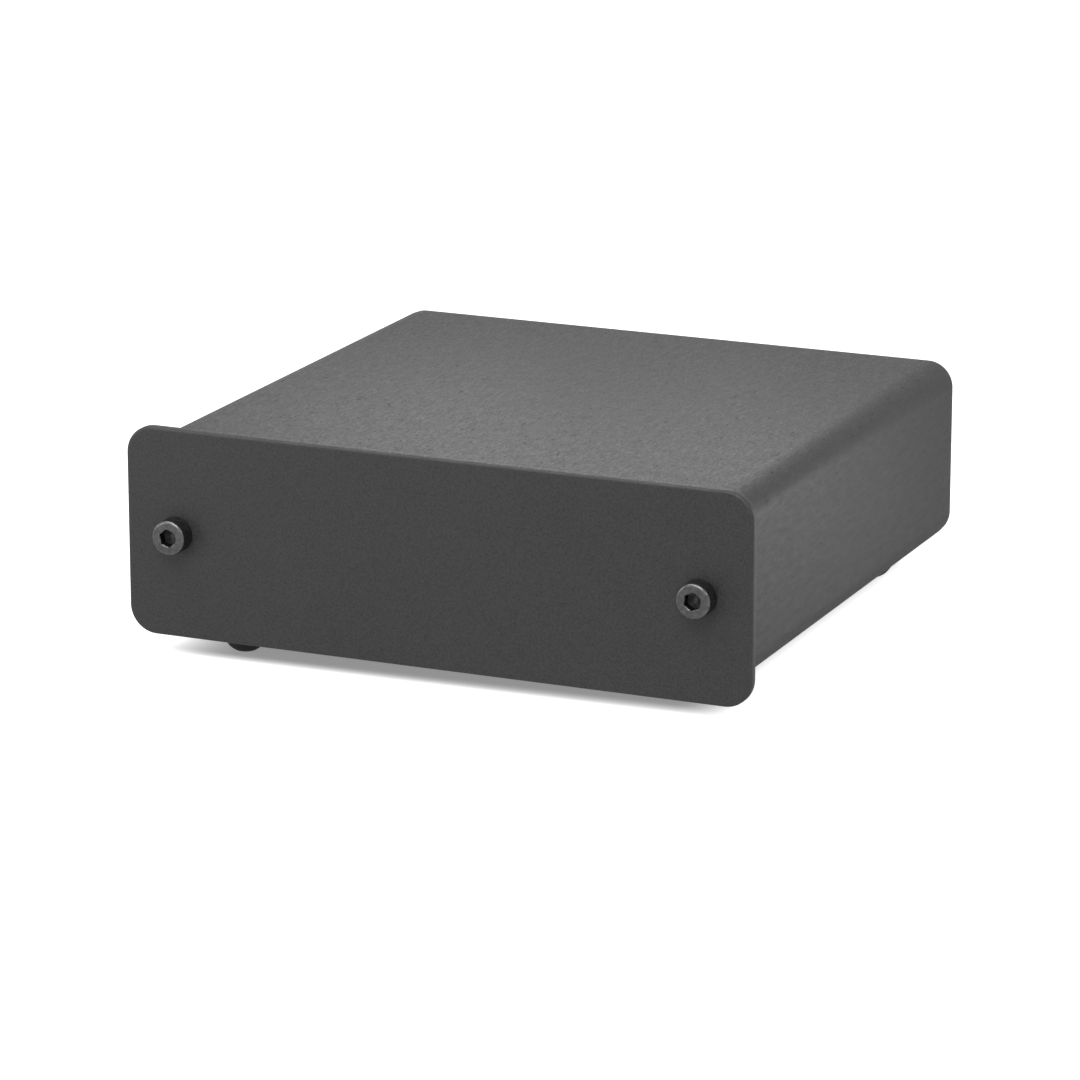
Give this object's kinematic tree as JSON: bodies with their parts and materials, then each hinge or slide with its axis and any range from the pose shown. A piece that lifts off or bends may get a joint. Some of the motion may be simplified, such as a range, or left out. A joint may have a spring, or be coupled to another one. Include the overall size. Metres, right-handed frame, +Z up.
{
  "type": "phono preamplifier",
  "caption": "Compact phono preamplifier in a matt black sleeve case with an overhanging front panel, cap screws, domed feet, rear phono sockets, ground terminal and gain selector.",
  "frame": {"origin": "middle of the whole object across and from front to back, at the surface the feet stand on", "axes": "+X to the right seen from the front, +Y to the rear with the sockets, +Z up"},
  "size_m": [0.103, 0.1106, 0.0361],
  "materials": {
    "case_coat": "fine-grained matt black powder coat on steel",
    "panel_coat": "fine-grained matt black coat on steel plate",
    "rear_coat": "fine-grained matt black coat on steel plate",
    "black_screw": "black oxide steel, lightly oiled",
    "bar_aluminium": "turned and milled aluminium",
    "foot_rubber": "matt black rubber",
    "board_laminate": "green solder mask over glass laminate",
    "zinc_steel": "bright zinc-plated steel",
    "black_plastic": "moulded black plastic",
    "white_plastic": "moulded white plastic",
    "red_plastic": "moulded red plastic",
    "gold_plate": "gold-plated brass",
    "tinned_metal": "tinned brass wire",
    "capacitor_sleeve": "dark blue shrink sleeve on an aluminium can",
    "film_case": "red moulded case",
    "chip_resin": "black moulded resin",
    "copper_winding": "enamelled copper over a ferrite ring",
    "resistor_coat": "pale blue lacquer"
  },
  "bodies": {
    "case": {"sleeve": "case_coat", "front_panel": "panel_coat", "rear_panel": "rear_coat", "front_screws": "black_screw", "rear_screws": "black_screw", "left_tie_bar": "bar_aluminium", "right_tie_bar": "bar_aluminium", "front_left_foot": "foot_rubber", "front_right_foot": "foot_rubber", "rear_left_foot": "foot_rubber", "rear_right_foot": "foot_rubber", "circuit_board": "board_laminate", "board_spacers": "zinc_steel", "board_screws": "zinc_steel", "input_socket_housing": "black_plastic", "output_socket_housing": "black_plastic", "socket_screws": "black_screw", "solder_pins": "tinned_metal", "power_inlet": "black_plastic", "power_inlet_pin": "tinned_metal", "selector_frame": "zinc_steel", "ground_stud": "gold_plate", "ground_fixing_nuts": "gold_plate", "left_op_amp": "chip_resin", "right_op_amp": "chip_resin", "left_supply_capacitor": "capacitor_sleeve", "right_supply_capacitor": "capacitor_sleeve", "left_input_capacitor": "capacitor_sleeve", "left_output_capacitor": "capacitor_sleeve", "right_input_capacitor": "capacitor_sleeve", "right_output_capacitor": "capacitor_sleeve", "left_bass_film_capacitor": "film_case", "left_treble_film_capacitor": "film_case", "right_bass_film_capacitor": "film_case", "right_treble_film_capacitor": "film_case", "left_regulator": "chip_resin", "right_regulator": "chip_resin", "rectifier_bridge": "chip_resin", "supply_choke": "copper_winding", "resistors": "resistor_coat", "input_left_shell": "gold_plate", "input_left_insulator": "white_plastic", "input_left_contact": "gold_plate", "input_right_shell": "gold_plate", "input_right_insulator": "red_plastic", "input_right_contact": "gold_plate", "output_left_shell": "gold_plate", "output_left_insulator": "white_plastic", "output_left_contact": "gold_plate", "output_right_shell": "gold_plate", "output_right_insulator": "red_plastic", "output_right_contact": "gold_plate"},
    "thumb_washer": {"ground_washer": "gold_plate"},
    "thumb_nut": {"ground_thumb_nut": "gold_plate"},
    "gain_slider": {"selector_slider": "black_plastic"}
  },
  "joints": [
    {"name": "ground_slide", "type": "slide", "parent": "case", "child": "thumb_washer", "axis": [0, 1, 0], "range_m": [0, 0.0035]},
    {"name": "ground_turn", "type": "hinge", "parent": "thumb_washer", "child": "thumb_nut", "pos_m": [0.00475, 0.04825, 0.0266], "axis": [0, 1, 0], "range_deg": [0, 1800]},
    {"name": "gain_select", "type": "slide", "parent": "case", "child": "gain_slider", "axis": [1, 0, 0], "range_m": [0, 0.003]}
  ],
  "couplings": [
    {"joint": "ground_turn", "follows": "ground_slide", "rad_per_m": 8975.9}
  ]
}
